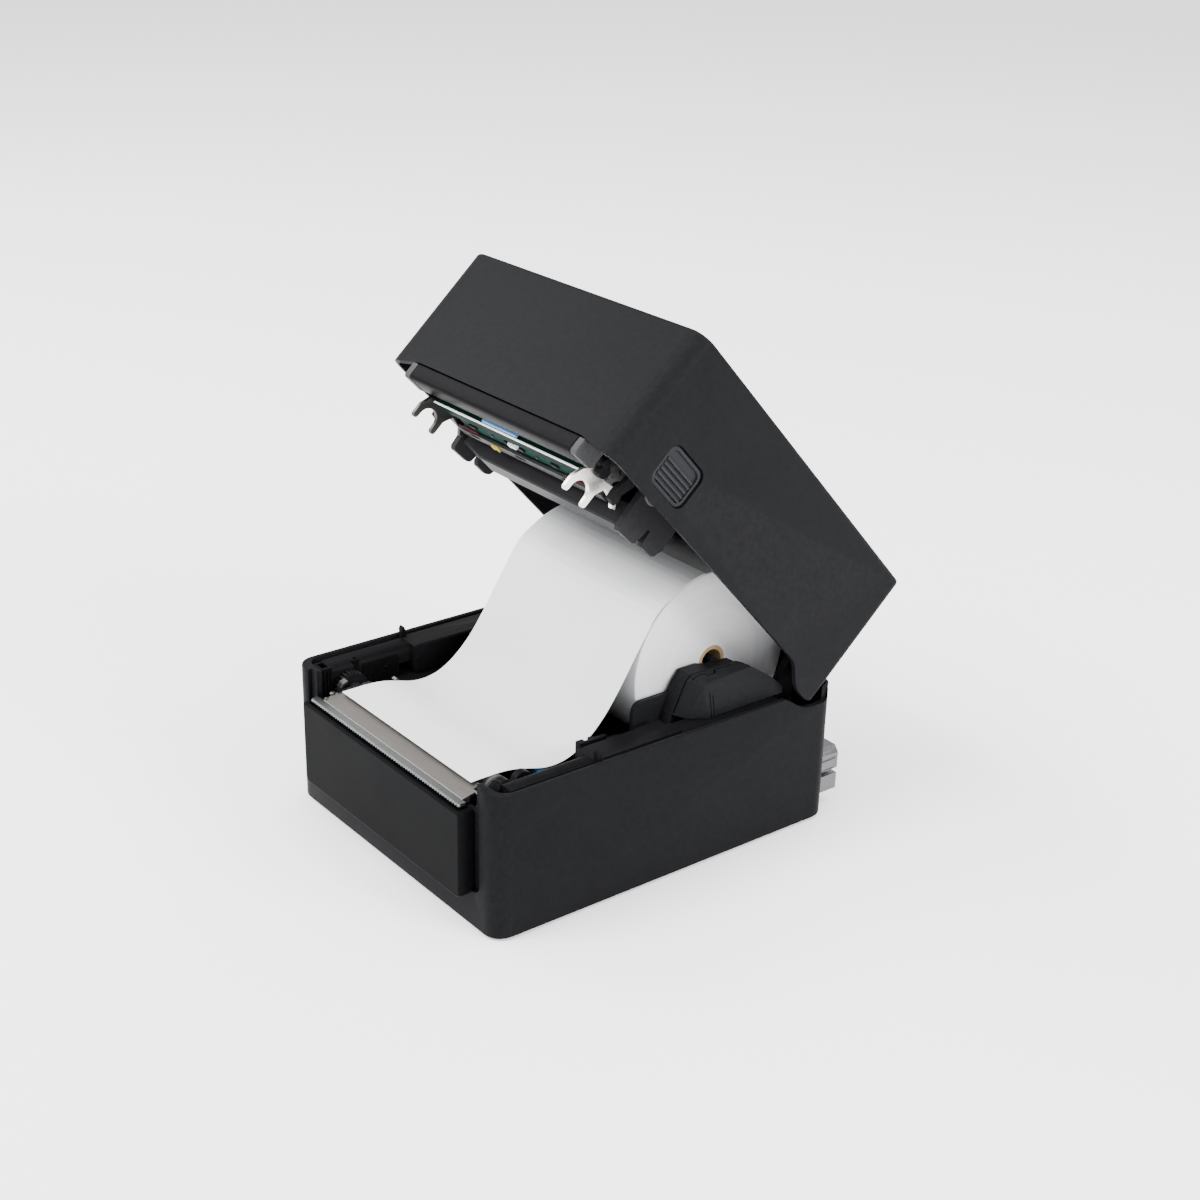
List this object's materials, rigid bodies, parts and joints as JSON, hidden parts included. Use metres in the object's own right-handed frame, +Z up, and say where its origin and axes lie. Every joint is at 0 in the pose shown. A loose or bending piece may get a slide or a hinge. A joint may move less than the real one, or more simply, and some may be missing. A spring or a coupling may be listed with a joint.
{
  "type": "receipt printer",
  "caption": "Desktop thermal receipt printer with its clamshell lid open, showing the paper roll, slack web, tear bar and print head unit.",
  "frame": {"origin": "centre of the open printer's footprint box, on the surface under its feet", "axes": "+Z up, -Y towards the front with the tear bar, +X towards the side with the visible release button"},
  "size_m": [0.178, 0.2569, 0.2728],
  "materials": {
    "case": "fine-grained charcoal",
    "trim": "satin black",
    "inner": "moulded black",
    "rubber_foot": "matte",
    "platen": "ground",
    "gear": "natural acetal",
    "steel": "zinc plated",
    "plate": "satin, warm grey",
    "paper": "coated thermal paper",
    "core": "wound board",
    "board": "solder resist",
    "head_glaze": "glazed",
    "blue": "moulded",
    "lens": "translucent"
  },
  "bodies": {
    "base": {"base_case": "case", "front_cover": "case", "service_hatch": "trim", "foot_fl": "rubber_foot", "foot_fr": "rubber_foot", "foot_bl": "rubber_foot", "foot_br": "rubber_foot", "tear_bar": "steel", "exit_plate": "plate", "print_chassis": "steel", "bearing_l": "gear", "bearing_r": "gear", "idler_pin": "steel", "feed_motor": "steel", "media_tray": "inner", "ledge_l": "inner", "ledge_r": "inner", "paper_web": "paper", "hinge_ear_l": "inner", "hinge_ear_r": "inner", "hinge_pin_l": "steel", "hinge_pin_r": "steel", "main_board": "board", "interface_panel": "steel", "port_upper": "steel", "port_lower": "steel", "power_inlet": "trim"},
    "platen": {"platen_shaft": "steel", "platen_roller": "platen", "platen_gear": "gear"},
    "idler": {"idler_gear": "gear"},
    "pinion": {"motor_pinion": "gear"},
    "roll": {"paper_roll": "paper", "roll_core": "core"},
    "guide_left": {"guide_l": "trim"},
    "guide_right": {"guide_r": "trim"},
    "sensor": {"media_sensor": "blue"},
    "rocker": {"power_rocker": "trim"},
    "lid": {"lid_cover": "case", "head_frame": "inner", "front_bar": "inner", "lower_guide": "inner", "lid_arm_l": "steel", "lid_arm_r": "steel", "led_lens": "lens"},
    "head": {"head_bracket": "steel", "thermal_head": "head_glaze", "head_board": "board", "head_clip": "blue", "fork_l": "steel", "fork_r": "steel", "fork_cap_l": "trim", "fork_cap_r": "trim"},
    "latch": {"latch_shaft": "steel", "latch_hook_l": "trim", "latch_hook_r": "trim", "latch_spring": "steel"},
    "open_left": {"open_button_l": "trim"},
    "open_right": {"open_button_r": "trim"},
    "feed_key": {"feed_button": "trim"}
  },
  "joints": [
    {"name": "lid_hinge", "type": "hinge", "parent": "base", "child": "lid", "pos_m": [0, 0.07875, 0.084], "axis": [1, 0, 0], "range_deg": [0, 47.7]},
    {"name": "platen_spin", "type": "hinge", "parent": "base", "child": "platen", "pos_m": [0, -0.09975, 0.062], "axis": [1, 0, 0], "continuous": true},
    {"name": "idler_spin", "type": "hinge", "parent": "base", "child": "idler", "pos_m": [0, -0.09424, 0.04687], "axis": [1, 0, 0], "continuous": true},
    {"name": "pinion_spin", "type": "hinge", "parent": "base", "child": "pinion", "pos_m": [0, -0.08704, 0.03829], "axis": [1, 0, 0], "continuous": true},
    {"name": "roll_spin", "type": "hinge", "parent": "base", "child": "roll", "pos_m": [0, 0.03205, 0.0915], "axis": [1, 0, 0], "continuous": true},
    {"name": "guide_right_slide", "type": "slide", "parent": "base", "child": "guide_right", "axis": [1, 0, 0], "range_m": [0, 0.005]},
    {"name": "guide_left_slide", "type": "slide", "parent": "base", "child": "guide_left", "axis": [1, 0, 0], "range_m": [-0.005, 0]},
    {"name": "sensor_slide", "type": "slide", "parent": "base", "child": "sensor", "axis": [1, 0, 0], "range_m": [-0.1, 0]},
    {"name": "rocker_tilt", "type": "hinge", "parent": "base", "child": "rocker", "pos_m": [-0.035, 0.08475, 0.021], "axis": [1, 0, 0], "range_deg": [0, 8]},
    {"name": "head_tilt", "type": "hinge", "parent": "lid", "child": "head", "pos_m": [0, -0.02409, 0.19999], "axis": [1, 0, 0], "range_deg": [-2, 0], "stiffness_Nm_per_rad": 6, "springref_deg": 5.73},
    {"name": "latch_swing", "type": "hinge", "parent": "lid", "child": "latch", "pos_m": [0, -0.02638, 0.21142], "axis": [1, 0, 0], "range_deg": [0, 8.05]},
    {"name": "open_right_press", "type": "slide", "parent": "lid", "child": "open_right", "axis": [-1, 0, 0], "range_m": [0, 0.003], "stiffness_N_per_m": 300, "springref_m": -0.001},
    {"name": "open_left_press", "type": "slide", "parent": "lid", "child": "open_left", "axis": [1, 0, 0], "range_m": [0, 0.003]},
    {"name": "feed_press", "type": "slide", "parent": "lid", "child": "feed_key", "axis": [0, -0.7396, -0.673], "range_m": [0, 0.0012], "stiffness_N_per_m": 400, "springref_m": -0.001}
  ],
  "couplings": [
    {"joint": "idler_spin", "follows": "platen_spin", "ratio": -1.3},
    {"joint": "pinion_spin", "follows": "platen_spin", "ratio": 2.1667},
    {"joint": "guide_left_slide", "follows": "guide_right_slide", "ratio": -1},
    {"joint": "latch_swing", "follows": "open_right_press", "rad_per_m": 46.555},
    {"joint": "open_left_press", "follows": "open_right_press", "ratio": 1}
  ]
}
